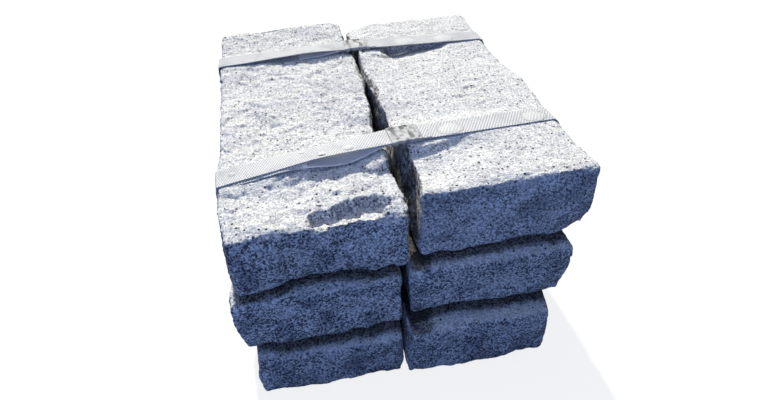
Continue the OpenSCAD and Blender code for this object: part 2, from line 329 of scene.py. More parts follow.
granite, g = finish_named("granite")
place = g.add("ShaderNodeTexCoord", None, None, out=3)
wobble = g.add("ShaderNodeTexNoise", None, {"Vector": place, "Scale": WOBBLES, "Detail": 2.0}, out=1)
bent = g.vector("MULTIPLY_ADD", wobble, (BEND, BEND, BEND), place)
crystal = g.add("ShaderNodeTexVoronoi", None, {"Vector": bent, "Scale": CRYSTALS}, out=1)
pick = g.add("ShaderNodeSeparateColor", None, {0: crystal})
grit = g.noise(place, GRIT, 3.0, 0.7)
tone = grit * 0.45 + pick * 0.55 - 0.005
MINERALS = ("LINEAR", (0.36, DARK_GRAIN), (0.45, QUARTZ), (0.54, FELDSPAR), (0.64, WHITE_GRAIN))
mineral = g.add("ShaderNodeValToRGB", {"stops": MINERALS}, {0: tone})


def flecks(per_metre, rarity, size):
    """Dark spots of uneven size; only cells above the rarity hold one."""
    cell = g.add("ShaderNodeTexVoronoi", None, {"Vector": bent, "Scale": per_metre}).socket.node
    chance = g.add("ShaderNodeSeparateColor", None, {0: Wire(g, cell.outputs[1])})
    return (Wire(g, cell.outputs[0]) - (chance - rarity) * size).ramp(0.03, -0.03)


pepper = flecks(235.0, 0.58, 0.85)
fleck = flecks(135.0, 0.22, 0.29)

facing = g.add("ShaderNodeNewGeometry", None, None, out=1)
upward = g.add("ShaderNodeSeparateXYZ", None, {0: facing}, out=2).ramp(0.2, 0.95)
sheltered = 1 - upward * 0.75
cloud = g.noise(place, CLOUDS, 4.0, 0.6)
stone = g.blend(cloud.ramp(0.54, 0.38, 0.0, 0.9) * sheltered, mineral, SOOT_AND_SHADE, "MULTIPLY")
stone = g.blend(cloud.ramp(0.52, 0.68, 0.0, 0.9) * sheltered, stone, CHALK, "SCREEN")
pale = g.add("ShaderNodeAttribute", {"attribute_name": "pale"}, None, out=2)
stone = g.blend(pale * sheltered, stone, CHALK, "SCREEN")
# painted shade: a kerb with a tone below 0, the two bottom ones, is darkened
stone = g.blend(pale * -1.0, stone, SOOT_AND_SHADE, "MULTIPLY")
relief = g.add("ShaderNodeAttribute", {"attribute_name": "relief"}, None, out=2)
stone = g.blend(relief.ramp(0.55, 1.0, 0.0, 0.30), stone, BRUISE_AND_HIGHLIGHT)
# painted shade: hollows of the relief on the side faces are darkened
stone = g.blend(relief.ramp(0.45, 0.0, 0.0, 0.8) * sheltered, stone, SOOT_AND_SHADE, "MULTIPLY")
arris = g.add("ShaderNodeAttribute", {"attribute_name": "arris"}, None, out=2)
# arrises paler: partly bruising, partly a painted highlight where the edges catch the light
stone = g.blend(arris * 0.3, stone, BRUISE_AND_HIGHLIGHT)
joint = g.add("ShaderNodeAttribute", {"attribute_name": "joint"}, None, out=2)
stone = g.blend(upward * (1 - joint) * 0.55, stone, DUST)
# painted shade: crowns under the stone above and the slot walls are darkened
stone = g.blend(joint * 0.9, stone, g.blend(1.0, stone, JOINT_SHADE, "MULTIPLY"))
# painted shade: where the slot floor is marked past 1 it goes nearly black
stone = g.blend((joint - 1.0) * 0.9, stone, MICA_AND_SHADE)
stone = g.blend(pepper * 0.85, stone, MICA_AND_SHADE)
stone = g.blend(fleck * 0.95, stone, MICA_AND_SHADE)

height = grit * (1.0 - sheltered * 0.55) + pick * 0.4 - fleck * 0.6 - pepper * 0.4
bump = g.add("ShaderNodeBump", None, {"Strength": 1.0, "Distance": GRAIN_HEIGHT, "Height": height})
close_finish(g, g.add("ShaderNodeBsdfPrincipled", None, {
    "Base Color": stone, "Roughness": 0.9 - fleck * 0.4, "Specular IOR Level": 0.1,
    "Normal": bump}))
print("granite has", len(granite.node_tree.nodes), "nodes")

# %% [markdown]
# The CAD kerbs are already split blocks with their own hollows, scars and chipped arrises, but at
# the spacing of a coarse net. Sculpting six blocks by hand would be slow, so Geometry Nodes trees
# work on all of them. The first divides the merged net, eases its flat facets and marks the arrises,
# which stand proud of the much smoother net that many more rounds of easing would give.

# %% Fine net tree
WIDE_EASING = 26
PROUD = (0.0004, 0.0022)


def open_tree(name, inputs):
    """A geometry tree with one geometry in and out and the named inputs."""
    tree = bpy.data.node_groups.new(name, "GeometryNodeTree")
    tree.interface.new_socket(name="Geometry", in_out="INPUT", socket_type="NodeSocketGeometry")
    tree.interface.new_socket(name="Geometry", in_out="OUTPUT", socket_type="NodeSocketGeometry")
    for label, kind in inputs:
        tree.interface.new_socket(name=label, in_out="INPUT", socket_type="NodeSocket" + kind)
    graph = Graph(tree)
    source = graph.add("NodeGroupInput").socket.node
    return tree, graph, {s.name: Wire(graph, s) for s in source.outputs if s.name}


def blurred(graph, value, rounds):
    """A vector averaged with its neighbours, in as many rounds as given."""
    return graph.add("GeometryNodeBlurAttribute", {"data_type": "FLOAT_VECTOR"},
                     {"Value": value, "Iterations": rounds}, out="shown")


net_tree, t, given = open_tree("fine_net", (("Divisions", "Int"), ("Easing", "Int")))
spot = t.add("GeometryNodeInputPosition")
net = t.add("GeometryNodeSubdivideMesh", None, {0: given["Geometry"], 1: given["Divisions"]})
net = t.add("GeometryNodeSetPosition", None, {
    "Geometry": net, "Position": blurred(t, spot, given["Easing"])})
outward = t.add("GeometryNodeInputNormal")
from_smooth = t.vector("SUBTRACT", spot, blurred(t, spot, WIDE_EASING))
proud = t.vector("DOT_PRODUCT", from_smooth, outward, out=1)
net = t.add("GeometryNodeStoreNamedAttribute", {"data_type": "FLOAT", "domain": "POINT"},
            {"Geometry": net, "Name": "arris", "Value": proud.ramp(*PROUD)})
t.add("NodeGroupOutput", None, {"Geometry": net})
print("fine net tree has", len(net_tree.nodes), "nodes")

# %% [markdown]
# Some places are broken more sharply than the coarse net can show. The upper left kerb has a high
# strip along its back, beds under the front strap, a knob at the slot and two bites behind its front
# edge. The upper right kerb has ledges that carry the straps, and hollows beside them. One tree makes
# all of these. Inside a ragged oval it brings the crown to a sloping level, up for a ledge or down
# for a bite, and the oval's border becomes the steep step.

# %% Terrace tree
RAGS = 70.0
terrace_tree, t, given = open_tree("terrace", (
    ("Centre", "Vector"), ("Reach", "Vector"), ("Level", "Float"), ("Fall", "Vector"),
    ("Raise", "Float"), ("Ragged", "Float"), ("Border", "Float")))
spot = t.add("GeometryNodeInputPosition")
away = t.vector("SUBTRACT", spot, given["Centre"])
flat = t.vector("MULTIPLY", t.vector("DIVIDE", away, given["Reach"]), (1, 1, 0))
oval = t.vector("LENGTH", flat, out=1)
oval = oval + (t.noise(spot, RAGS, 5.0, 0.7) - 0.5) * given["Ragged"]
height = t.add("ShaderNodeSeparateXYZ", None, {0: spot}, out=2)
upward = t.add("ShaderNodeSeparateXYZ", None, {0: t.add("GeometryNodeInputNormal")}, out=2)
inside = oval.ramp(1 + given["Border"], 1 - given["Border"]) * upward.ramp(0.1, 0.5)
level = given["Level"] + t.vector("DOT_PRODUCT", away, given["Fall"], out=1)
lowered = height.math("MINIMUM", level) * (1 - given["Raise"])
raised = height.math("MAXIMUM", level) * given["Raise"]
change = t.add("ShaderNodeCombineXYZ", None, {2: (lowered + raised - height) * inside})
stepped = t.add("GeometryNodeSetPosition", None, {"Geometry": given["Geometry"], "Offset": change})
t.add("NodeGroupOutput", None, {"Geometry": stepped})
print("terrace tree has", len(terrace_tree.nodes), "nodes")

# %% [markdown]
# The joint between the two columns isn't an even slot: at places the kerbs swell towards each other
# and nearly touch, and the back of the upper kerbs stands fuller than their CAD blocks. A small tree
# pushes a face out softly around one spot.

# %% Swelling tree
swell_tree, t, given = open_tree("swelling", (
    ("Centre", "Vector"), ("Reach", "Vector"), ("Push", "Vector")))
spot = t.add("GeometryNodeInputPosition")
away = t.vector("DIVIDE", t.vector("SUBTRACT", spot, given["Centre"]), given["Reach"])
share = t.vector("LENGTH", away, out=1).ramp(1.0, 0.0)
push = t.add("ShaderNodeVectorMath", {"operation": "SCALE"}, {0: given["Push"], "Scale": share})
swollen = t.add("GeometryNodeSetPosition", None, {"Geometry": given["Geometry"], "Offset": push})
t.add("NodeGroupOutput", None, {"Geometry": swollen})
print("swelling tree has", len(swell_tree.nodes), "nodes")

# %% [markdown]
# Split granite breaks along crystal faces, so its surface is made of many small tilted plates with
# short steps between them. The last tree gives each cell of a Voronoi texture a random tilt, at two
# sizes, and adds swells and grain. It also nicks the arrises, which break first.

# %% Split stone tree
# plates, wandering borders, swells, grains and nicks for each metre
COARSE_PLATES = 48.0
FINE_PLATES = 115.0
WANDERS = 60.0
SWELLS = 26.0
GRAINS = 170.0
NICKS = 70.0
# how far the plates' borders wander and how deep a nick goes, in metres
WANDER = 0.012
NICK_DEPTH = 0.0035

split_tree, t, given = open_tree("split_stone", (
    ("Plate", "Float"), ("Swell", "Float"), ("Grain", "Float"), ("Side share", "Float"),
    ("Stone above", "Object"), ("Pale", "Float"), ("Seed", "Float"), ("Finish", "Material")))
spot = t.add("GeometryNodeInputPosition")
outward = t.add("GeometryNodeInputNormal")
seed = t.add("ShaderNodeCombineXYZ", None, {0: given["Seed"], 1: given["Seed"] * 0.37})
seeded = t.vector("ADD", spot, seed)
wander = t.add("ShaderNodeTexNoise", None, {"Vector": seeded, "Scale": WANDERS, "Detail": 4.0}, out=1)
broken = t.vector("MULTIPLY_ADD", wander, (WANDER, WANDER, WANDER), seeded)


def plates(per_metre):
    """Height above a cell's middle on a randomly tilted plate, in metres."""
    cells = t.add("ShaderNodeTexVoronoi", None, {"Vector": broken, "Scale": per_metre}).socket.node
    tilt = t.vector("SUBTRACT", Wire(t, cells.outputs[1]), (0.5, 0.5, 0.5))
    from_middle = t.vector("SUBTRACT", broken, Wire(t, cells.outputs[2]))
    return t.vector("DOT_PRODUCT", from_middle, tilt, out=1)


swell = t.noise(seeded, SWELLS, 3.0, 0.55) - 0.5
grain = t.noise(seeded, GRAINS, 4.0, 0.72) - 0.5
lift = given["Plate"] * (plates(COARSE_PLATES) + plates(FINE_PLATES))
lift = lift + given["Swell"] * swell * 2 + given["Grain"] * grain * 2
upward = t.add("ShaderNodeSeparateXYZ", None, {0: outward}, out=2)
crown = upward.ramp(0.3, 0.8)
lift = lift * (given["Side share"] + crown * (1 - given["Side share"]))
edge = t.add("GeometryNodeInputNamedAttribute", {"data_type": "FLOAT"}, {"Name": "arris"})
nick = t.noise(seeded, NICKS, 3.0, 0.6).ramp(0.5, 0.68)
lift = lift - edge * nick * NICK_DEPTH
print("split relief takes", len(split_tree.nodes), "nodes")

# %% [markdown]
# The joints between the kerbs are darkened as painted shade. Painted by hand it would have to be
# painted again for each kerb, so the tree measures instead. A crown close under the stone above is
# darkened, and so are the walls and the floor of the slot between the columns, whose floor goes
# nearly black.

# %% Painted shade in the joints
# each pair is where the painted shade begins and where it is full, in metres
BELOW_STONE = (0.017, 0.007)
OUTER_SIDE = (0.222, 0.205)
SLOT_WALL = (0.06, 0.03)
SLOT_FLOOR = (0.024, 0.010)
BEHIND_FRONT = (-0.232, -0.205)
# patches of the painted shade for each metre, and how far its border strays, in metres
SHADE_PATCHES = 110.0
RAGGED_LINE = 0.006

spot_parts = t.add("ShaderNodeSeparateXYZ", None, {0: spot}).socket.node
from_slot = abs(Wire(t, spot_parts.outputs[0]))
behind_edge = Wire(t, spot_parts.outputs[1]).ramp(*BEHIND_FRONT)
sideways = abs(t.add("ShaderNodeSeparateXYZ", None, {0: outward}))
shade_patches = t.noise(seeded, SHADE_PATCHES, 4.0, 0.7).ramp(0.56, 0.46)
slot_shade = from_slot.ramp(*SLOT_WALL) * sideways.ramp(0.3, 0.7) * behind_edge * shade_patches
above = t.add("GeometryNodeObjectInfo", None, {"Object": given["Stone above"]}).socket.node
gap = t.add("GeometryNodeProximity", None, {
    0: Wire(t, above.outputs["Geometry"]), "Sample Position": spot}).socket.node
near = Wire(t, gap.outputs["Distance"]) + grain * RAGGED_LINE
near_stone_shade = near.ramp(*BELOW_STONE) * from_slot.ramp(*OUTER_SIDE)
slot_floor = from_slot.ramp(*SLOT_FLOOR) * 0.8
lower = crown * Wire(t, gap.outputs["Is Valid"])
# painted shade: crowns under the stone above, the slot walls and, beyond 1, the slot floor
dirt = (lower * near_stone_shade).math("MAXIMUM", slot_shade) + lower * slot_floor
print("relief and dirt take", len(split_tree.nodes), "nodes")

# %% [markdown]
# What the tree worked out is stored as attributes for the finish to read: the relief, the painted
# shade of the joints and the kerb's tone. Then the net moves along its normal. Under the straps it
# moves only inwards, and by less, so that no stone comes through them.

# %% Moving and marking the stone
STRAP_WIDTH = 0.032
# each strap's middle along the kerbs, in metres, and how far it is turned
STRAP_LANES = ((-0.125, math.radians(4.5)), (0.168, math.radians(0.3)))
RELIEF_SCALE = 220
HELD_DEPTH = 0.0003
HELD_SHARE = 0.4


def lane_cover(graph, place):
    """1 under a strap, easing to 0 a few millimetres beside it."""
    cover = None
    for centre, turned in STRAP_LANES:
        across = graph.vector("DOT_PRODUCT", place, (-math.sin(turned), math.cos(turned), 0), out=1)
        off = abs(across - centre * math.cos(turned))
        here = off.ramp(STRAP_WIDTH * 0.55, STRAP_WIDTH * 0.9, 1.0, 0.0)
        cover = here if cover is None else cover.math("MAXIMUM", here)
    return cover


cover = lane_cover(t, spot)
held = lift.math("MINIMUM", -HELD_DEPTH) * HELD_SHARE
move = lift * (1 - cover) + held * cover
marked = given["Geometry"]
# the joint attribute holds the painted shade of the joints and the slot
for label, value in (("relief", 0.5 + lift * RELIEF_SCALE), ("joint", dirt), ("pale", given["Pale"])):
    marked = t.add("GeometryNodeStoreNamedAttribute", {"data_type": "FLOAT", "domain": "POINT"},
                   {"Geometry": marked, "Name": label, "Value": value})
shove = t.add("ShaderNodeVectorMath", {"operation": "SCALE"}, {0: outward, "Scale": move})
rough = t.add("GeometryNodeSetPosition", None, {"Geometry": marked, "Offset": shove})
smooth = t.add("GeometryNodeSetShadeSmooth", None, {"Geometry": rough, "Shade Smooth": True})
whole = t.add("GeometryNodeRealizeInstances", None, {"Geometry": smooth})
dressed = t.add("GeometryNodeSetMaterial", None, {"Geometry": whole, "Material": given["Finish"]})
t.add("NodeGroupOutput", None, {"Geometry": dressed})
print("split stone tree has", len(split_tree.nodes), "nodes")

# %% [markdown]
# A tree runs on a merged copy of the CAD net, because the net arrives as loose triangles that would
# tear apart when moved. Divided three times, a kerb would hold more triangles than a shared part can
# carry, so the moved net is thinned. The result is kept as a plain mesh.

# %% Running the trees


def merged_copy(node, name):
    """A new object with the CAD node's triangles joined at their corners."""
    net = bmesh.new()
    net.from_mesh(cad[node].data)
    bmesh.ops.remove_doubles(net, verts=net.verts, dist=1e-6)
    mesh = bpy.data.meshes.new(name)
    net.to_mesh(mesh)
    net.free()
    mesh.materials.clear()
    piece = bpy.data.objects.new(name, mesh)
    bpy.context.scene.collection.objects.link(piece)
    return piece


def run_trees(piece, steps, kept=1.0):
    """Runs trees on the piece in turn, thins the net to a share and keeps it as a plain mesh."""
    for tree, values in steps:
        step = piece.modifiers.new(tree.name, "NODES")
        step.node_group = tree
        for item in tree.interface.items_tree:
            if item.in_out == "INPUT" and item.name in values:
                step[item.identifier] = values[item.name]
    if kept < 1.0:
        piece.modifiers.new("thinned", "DECIMATE").ratio = kept
    shape = piece.evaluated_get(bpy.context.evaluated_depsgraph_get())
    mesh = bpy.data.meshes.new_from_object(shape)
    piece.modifiers.clear()
    piece.data = mesh
    mesh.name = piece.name
    return mesh


print("tree runner ready")

# %% [markdown]
# Each kerb is its own block with its own roughness: the upper left one is broken deepest, the upper
# right one is nearly plane. A sculptor would cut each place in turn. Here the places are rows of
# numbers, so one row is one ledge, bite or swelling, and it can be moved without touching the rest.

# %% Places on the kerbs


def terrace(centre, reach, level, fall, up, ragged, border):
    """Values for the terrace tree: an oval on a crown, its level and slope, raised or lowered."""
    return {"Centre": (*centre, 0.0), "Reach": (*reach, 1.0), "Level": level, "Fall": (*fall, 0.0),
            "Raise": float(up), "Ragged": ragged, "Border": border}


# tilt of the plates, and height of swells and grain in metres
BREAKS = {
    "kerb_bottom_left": (0.14, 0.0012, 0.0010),
    "kerb_bottom_right": (0.14, 0.0012, 0.0010),
    "kerb_middle_left": (0.16, 0.0014, 0.0011),
    "kerb_middle_right": (0.14, 0.0012, 0.0010),
    "kerb_top_left": (0.24, 0.0024, 0.0014),
    "kerb_top_right": (0.13, 0.0005, 0.0012),
}
TERRACES = {
    "kerb_top_left": [
        terrace((-0.120, 0.235), (0.125, 0.085), 0.2735, (0.0, 0.02), 1, 0.2, 0.30),
        terrace((-0.165, -0.140), (0.062, 0.030), 0.2728, (0.060, 0.0), 1, 0.3, 0.40),
        terrace((-0.085, -0.140), (0.060, 0.028), 0.2690, (0.02, 0.0), 1, 0.5, 0.40),
        terrace((-0.030, -0.146), (0.020, 0.024), 0.2765, (0.20, 0.05), 1, 0.8, 0.35),
        terrace((-0.075, -0.195), (0.085, 0.045), 0.2660, (0.0, 0.03), 1, 0.3, 0.25),
        terrace((-0.060, -0.224), (0.031, 0.0150), 0.2500, (0.02, -0.15), 0, 1.3, 0.20),
        terrace((-0.094, -0.233), (0.027, 0.0105), 0.2520, (0.02, -0.15), 0, 1.3, 0.20)],
    "kerb_top_right": [
        terrace((0.062, -0.160), (0.058, 0.026), 0.2735, (0.06, 0.0), 0, 0.3, 0.35),
        terrace((0.130, -0.114), (0.085, 0.030), 0.2812, (-0.033, 0.0), 1, 0.3, 0.40),
        terrace((0.020, -0.128), (0.062, 0.0220), 0.2840, (-0.030, 0.06), 1, 0.5, 0.14),
        terrace((0.078, 0.147), (0.068, 0.031), 0.2630, (0.10, -0.20), 0, 0.4, 0.14),
        terrace((0.006, 0.150), (0.040, 0.036), 0.2790, (-0.12, 0.0), 1, 0.8, 0.30)],
}
# middle of a swelling, its reach and how far it pushes, in metres
SWELLINGS = {
    "kerb_top_left": [((-0.014, 0.090, 0.262), (0.05, 0.085, 0.07), (0.0055, 0, 0)),
                      ((-0.115, 0.280, 0.272), (0.40, 0.040, 0.035), (0, 0.012, 0.004))],
    "kerb_top_right": [((0.000, 0.085, 0.268), (0.05, 0.080, 0.07), (-0.0055, 0, 0)),
                       ((0.012, 0.265, 0.270), (0.06, 0.060, 0.05), (-0.012, 0, 0.003)),
                       ((0.010, -0.070, 0.272), (0.035, 0.055, 0.035), (-0.010, 0, 0.001))],
    "kerb_bottom_left": [((-0.020, -0.235, 0.020), (0.05, 0.10, 0.09), (0.0042, 0, 0))],
    "kerb_bottom_right": [((-0.010, -0.235, 0.020), (0.05, 0.10, 0.09), (-0.0030, 0, 0))],
}
# above 0 a kerb is paler than the rest, and below 0 it is darker: the two bottom kerbs are
# darker as painted shade
PALENESS = {
    "kerb_top_right": 0.38,
    "kerb_middle_right": 0.05,
    "kerb_bottom_left": -0.26,
    "kerb_bottom_right": -0.18,
}
print(sum(len(rows) for rows in TERRACES.values()), "terraces,",
      sum(len(rows) for rows in SWELLINGS.values()), "swellings")

# %% [markdown]
# One loop now dresses all six kerbs: the fine net first, then the sharp ledges, the soft swellings
# and the split relief last, so that it covers the rest. A kerb with another on it is told which one.

# %% Six kerbs
DIVISIONS = 3
EASING = 5
# the first division makes three quads from a triangle, and each further one makes four from a quad
TRIANGLES_AT_FIRST = 6
FACES_A_KERB = 148000
SIDE_SHARE = 0.7
SEED_STEP = 1.7
for number, (node, (plate, swell, grain)) in enumerate(BREAKS.items()):
    kerb = merged_copy(node, node + "_split")
    steps = [(net_tree, {"Divisions": DIVISIONS, "Easing": EASING})]
    steps += [(terrace_tree, values) for values in TERRACES.get(node, [])]
    steps += [(swell_tree, dict(zip(("Centre", "Reach", "Push"), values)))
              for values in SWELLINGS.get(node, [])]
    above = cad.get(node.replace("middle", "top").replace("bottom", "middle"))
    steps += [(split_tree, {"Plate": plate, "Swell": swell, "Grain": grain, "Side share": SIDE_SHARE,
                            "Stone above": None if "top" in node else above,
                            "Pale": PALENESS.get(node, 0.0),
                            "Seed": SEED_STEP * number, "Finish": granite})]
    divided = len(kerb.data.polygons) * TRIANGLES_AT_FIRST * 4 ** (DIVISIONS - 1)
    mesh = run_trees(kerb, steps, FACES_A_KERB / divided)
    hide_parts(node)
    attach(kerb, "root")
    print(kerb.name, len(mesh.polygons), "faces")

# %% [markdown]
# The straps are white plastic ribbon, 32 mm wide, embossed all over with fine crossing ridges. An
# image could hold that pattern, but two sine waves across each other give it at any distance. Along
# the ribbon x plus z counts its length well enough, since it runs level over the top and straight
# down the sides. The rear strap has lain in more dirt than the front one.

# %% Strap plastic
KNURL = 0.0033
RIDGE_SHADE = (0.24, 0.25, 0.265, 1)
# clean back of the strap, paled further as painted light shining through the plastic above
CLEAN_BACK_AND_LIGHT = (0.96, 0.95, 0.93, 1)
LENGTH_SHARE = 0.88
SLANT_SHARE = 0.47
SMEARS = 38.0


def ribbed_plastic(name, pitch, pale, soiled, rough, ridge):
    """Embossed plastic: its ridges' spacing, clean and dirty tones, roughness and painted groove
    shade.
    """
    finish, s = finish_named(name)
    place = s.add("ShaderNodeTexCoord", None, None, out=3)
    parts = s.add("ShaderNodeSeparateXYZ", None, {0: place}).socket.node
    px, py, pz = (Wire(s, o) for o in parts.outputs)
    waves = 2 * math.pi / pitch
    length, slant = (px + pz) * LENGTH_SHARE, py * SLANT_SHARE
    falling = ((length - slant) * waves).math("SINE")
    rising = ((length + slant) * waves).math("SINE")
    knurl = falling * 0.65 + rising * 0.35
    smear = s.noise(place, SMEARS, 5.0, 0.65)
    dirt = smear.ramp(0.45, 0.70, 0.0, 0.6) + py.ramp(-0.05, 0.10, 0.0, 0.4)
    plastic = s.blend(dirt, pale, soiled)
    # painted shade: the grooves between the embossed ridges are darkened
    plastic = s.blend(knurl.ramp(0.45, -0.7, 0.0, ridge), plastic, RIDGE_SHADE)
    free_end = s.add("ShaderNodeAttribute", {"attribute_name": "free_end"}, None, out=2)
    # painted light: the free end is made much paler, for sun shining through the plastic above it
    plastic = s.blend(free_end, plastic, CLEAN_BACK_AND_LIGHT)
    bump = s.add("ShaderNodeBump", None, {"Strength": 0.5, "Distance": 0.0003, "Height": knurl})
    close_finish(s, s.add("ShaderNodeBsdfPrincipled", None, {
        "Base Color": plastic, "Roughness": rough + dirt * 0.3, "Specular IOR Level": 0.2,
        "Subsurface Weight": 0.5, "Subsurface Radius": (1, 1, 1), "Subsurface Scale": 0.003,
        "Normal": bump}))
    print(name, "has", len(finish.node_tree.nodes), "nodes")
    return finish


CLEAN_STRAP = (0.62, 0.63, 0.645, 1)
SOILED_STRAP = (0.45, 0.468, 0.49, 1)
strap_plastic = ribbed_plastic("strap_plastic", KNURL, CLEAN_STRAP, SOILED_STRAP, 0.55, 0.75)

# %% [markdown]
# The CAD straps have the right route, but a real ribbon isn't held level across its width. Between
# the outer edge of the bundle and the seal its front edge stands up, and the free end, which comes
# out of the seal below it, shows as a sagging crescent. Bending the ribbon by hand would lose its
# route, so a tree lifts each point of the upper layer by its distance from the rear edge. The free
# end follows only where it lies against the upper layer, and it may slip forwards, so that more of it
# shows. It is marked for the finish, because it turns up its back, which is smooth and clean. The
# finish also paints it much paler than the strap, as painted light for the sun that shines through
# the upper layer onto it.

# %% Ribbon twist tree
# how far below the upper layer a free end hangs at most, and where it still lies against that layer
FREE_DEPTH = 0.02
LYING_DEPTH = 0.01
# distances before the crest over which a free end parts from the upper layer
PARTING = (0.02, 0.05)
# places along the strap: the free end's tip, and where it starts to slip and has slipped fully
FREE_TIP = -0.2082
SLIPPING = (-0.02, -0.07)

twist_tree, t, given = open_tree("ribbon_twist", (
    ("Along", "Vector"), ("Across", "Vector"), ("Lane", "Float"), ("Rise", "Float"),
    ("Start", "Float"), ("Crest", "Float"), ("End", "Float"),
    ("Slip", "Float"), ("Layer level", "Float"), ("Layer slope", "Float"), ("Finish", "Material")))
ribbon = t.add("GeometryNodeSubdivideMesh", None, {0: given["Geometry"], 1: 2})
spot = t.add("GeometryNodeInputPosition")
along = t.vector("DOT_PRODUCT", spot, given["Along"], out=1)
across = t.vector("DOT_PRODUCT", spot, given["Across"], out=1) - given["Lane"]
height = t.add("ShaderNodeSeparateXYZ", None, {0: spot}, out=2)
over = height - (given["Layer level"] + along * given["Layer slope"])
upper = over.math("GREATER_THAN", 0.0)
hanging = over.math("GREATER_THAN", -FREE_DEPTH)
lying = along.ramp(given["Crest"] - PARTING[0], given["Crest"] - PARTING[1])
lying = over.math("GREATER_THAN", -LYING_DEPTH) * lying
stretch = along.ramp(given["Start"], given["Crest"]) * along.ramp(given["End"], given["Crest"])
rise = given["Rise"] * stretch * upper.math("MAXIMUM", lying) * (0.5 - across / STRAP_WIDTH)
lift = t.add("ShaderNodeCombineXYZ", None, {2: rise})
tail = (1 - upper) * hanging * along.math("GREATER_THAN", FREE_TIP)
slip = given["Slip"] * tail * along.ramp(*SLIPPING)
aside = t.add("ShaderNodeVectorMath", {"operation": "SCALE"}, {0: given["Across"], "Scale": slip})
ribbon = t.add("GeometryNodeSetPosition", None, {
    "Geometry": ribbon, "Offset": t.vector("SUBTRACT", lift, aside)})
ribbon = t.add("GeometryNodeStoreNamedAttribute", {"data_type": "FLOAT", "domain": "POINT"}, {
    "Geometry": ribbon, "Name": "free_end",
    "Value": hanging * (1 - upper) * (1 - lying) * stretch.ramp(0.05, 0.15)})
ribbon = t.add("GeometryNodeRealizeInstances", None, {"Geometry": ribbon})
ribbon = t.add("GeometryNodeSetMaterial", None, {"Geometry": ribbon, "Material": given["Finish"]})
t.add("NodeGroupOutput", None, {"Geometry": ribbon})
print("ribbon twist tree has", len(twist_tree.nodes), "nodes")

# %% [markdown]
# The tree needs to know which points belong to the upper layer. Two looks straight down on the CAD
# strap give that layer's height and slope, and what lies lower than its thickness is the free end.

# %% Two straps
STRAP_THICKNESS = 0.0012
LAYER_CLEARANCE = 0.0001
LOOK_DOWN = (-0.160, -0.040)
# how far the front edge stands up, where along the strap that starts, is greatest and ends, and how
# far the free end slips forwards
TWISTS = {"strap_front": (0.0048, -0.205, -0.108, -0.012, 0.0038),
          "strap_rear": (0.0030, -0.205, -0.080, -0.020, 0.0)}


def lane_matrix(lane):
    """Places points given along a strap, across it and up."""
    centre, turned = lane
    return Matrix.Translation((0, centre, 0)) @ Matrix.Rotation(turned, 4, "Z")


def seen_from_above(piece, lane, along, across=0.0):
    """Where a look straight down at a place on a strap's lane meets the piece, and its normal."""
    eye = lane_matrix(lane) @ Vector((along, across, 1))
    return piece.ray_cast(eye, (0, 0, -1))[1:3]


straps = {}
for (node, twist), lane in zip(TWISTS.items(), STRAP_LANES):
    centre, turned = lane
    heights = [seen_from_above(cad[node], lane, along)[0].z for along in LOOK_DOWN]
    slope = (heights[1] - heights[0]) / (LOOK_DOWN[1] - LOOK_DOWN[0])
    values = dict(zip(("Rise", "Start", "Crest", "End", "Slip"), twist))
    values["Along"] = (math.cos(turned), math.sin(turned), 0.0)
    values["Across"] = (-math.sin(turned), math.cos(turned), 0.0)
    values["Lane"] = centre * math.cos(turned)
    values["Layer slope"] = slope
    values["Layer level"] = heights[0] - slope * LOOK_DOWN[0] - STRAP_THICKNESS - LAYER_CLEARANCE
    values["Finish"] = strap_plastic
    straps[node] = merged_copy(node, node + "_ribbon")
    mesh = run_trees(straps[node], [(twist_tree, values)])
    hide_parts(node)
    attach(straps[node], "root")
    print(straps[node].name, len(mesh.polygons), "faces, slope", round(slope, 3))

# %% [markdown]
# Water stands on the plastic: small round beads on the front strap's left half, and flat wet ovals
# with the ridges showing larger through them. Each could be a sculpted drop. Since they differ only
# in size, a tree sets one flattened dome on each of a list of points.

# %% Bead tree
SUNK_SHARE = 0.2

bead_tree, t, given = open_tree("beads", (("Uneven", "Float"), ("Finish", "Material")))
dome = t.add("GeometryNodeMeshUVSphere", None, {"Segments": 32, "Rings": 16, "Radius": 1.0})
spot = t.add("GeometryNodeInputPosition")
up = t.add("ShaderNodeSeparateXYZ", None, {0: spot}, out=2)
dome_height = up.math("MAXIMUM", 0.0) ** 2
sunk = up.math("MINIMUM", 0.0) * SUNK_SHARE
cap = t.add("ShaderNodeCombineXYZ", None, {2: dome_height + sunk})
outline = t.vector("MULTIPLY_ADD", spot, (1, 1, 0), cap)
wavy = 1 + (t.noise(spot, 1.3, 2.0, 0.5) - 0.5) * given["Uneven"]
uneven = t.add("ShaderNodeVectorMath", {"operation": "SCALE"}, {0: outline, "Scale": wavy})
dome = t.add("GeometryNodeSetPosition", None, {"Geometry": dome, "Position": uneven})
dome = t.add("GeometryNodeSetShadeSmooth", None, {"Geometry": dome, "Shade Smooth": True})
extent = t.add("GeometryNodeInputNamedAttribute", {"data_type": "FLOAT_VECTOR"}, {"Name": "extent"})
turned = t.add("GeometryNodeInputNamedAttribute", {"data_type": "FLOAT_VECTOR"}, {"Name": "turned"})
drops = t.add("GeometryNodeInstanceOnPoints", None, {
    "Points": given["Geometry"], "Instance": dome, "Rotation": turned, "Scale": extent})
drops = t.add("GeometryNodeRealizeInstances", None, {"Geometry": drops})
drops = t.add("GeometryNodeSetMaterial", None, {"Geometry": drops, "Material": given["Finish"]})
t.add("NodeGroupOutput", None, {"Geometry": drops})
print("bead tree has", len(bead_tree.nodes), "nodes")

# %% [markdown]
# A bead lies where a look straight down meets the twisted ribbon, tilted as the ribbon is there.
# Clear water would show the ridges by bending light. A paler plastic with wider ridges looks much the
# same from a step away, and a baked picture can hold it.

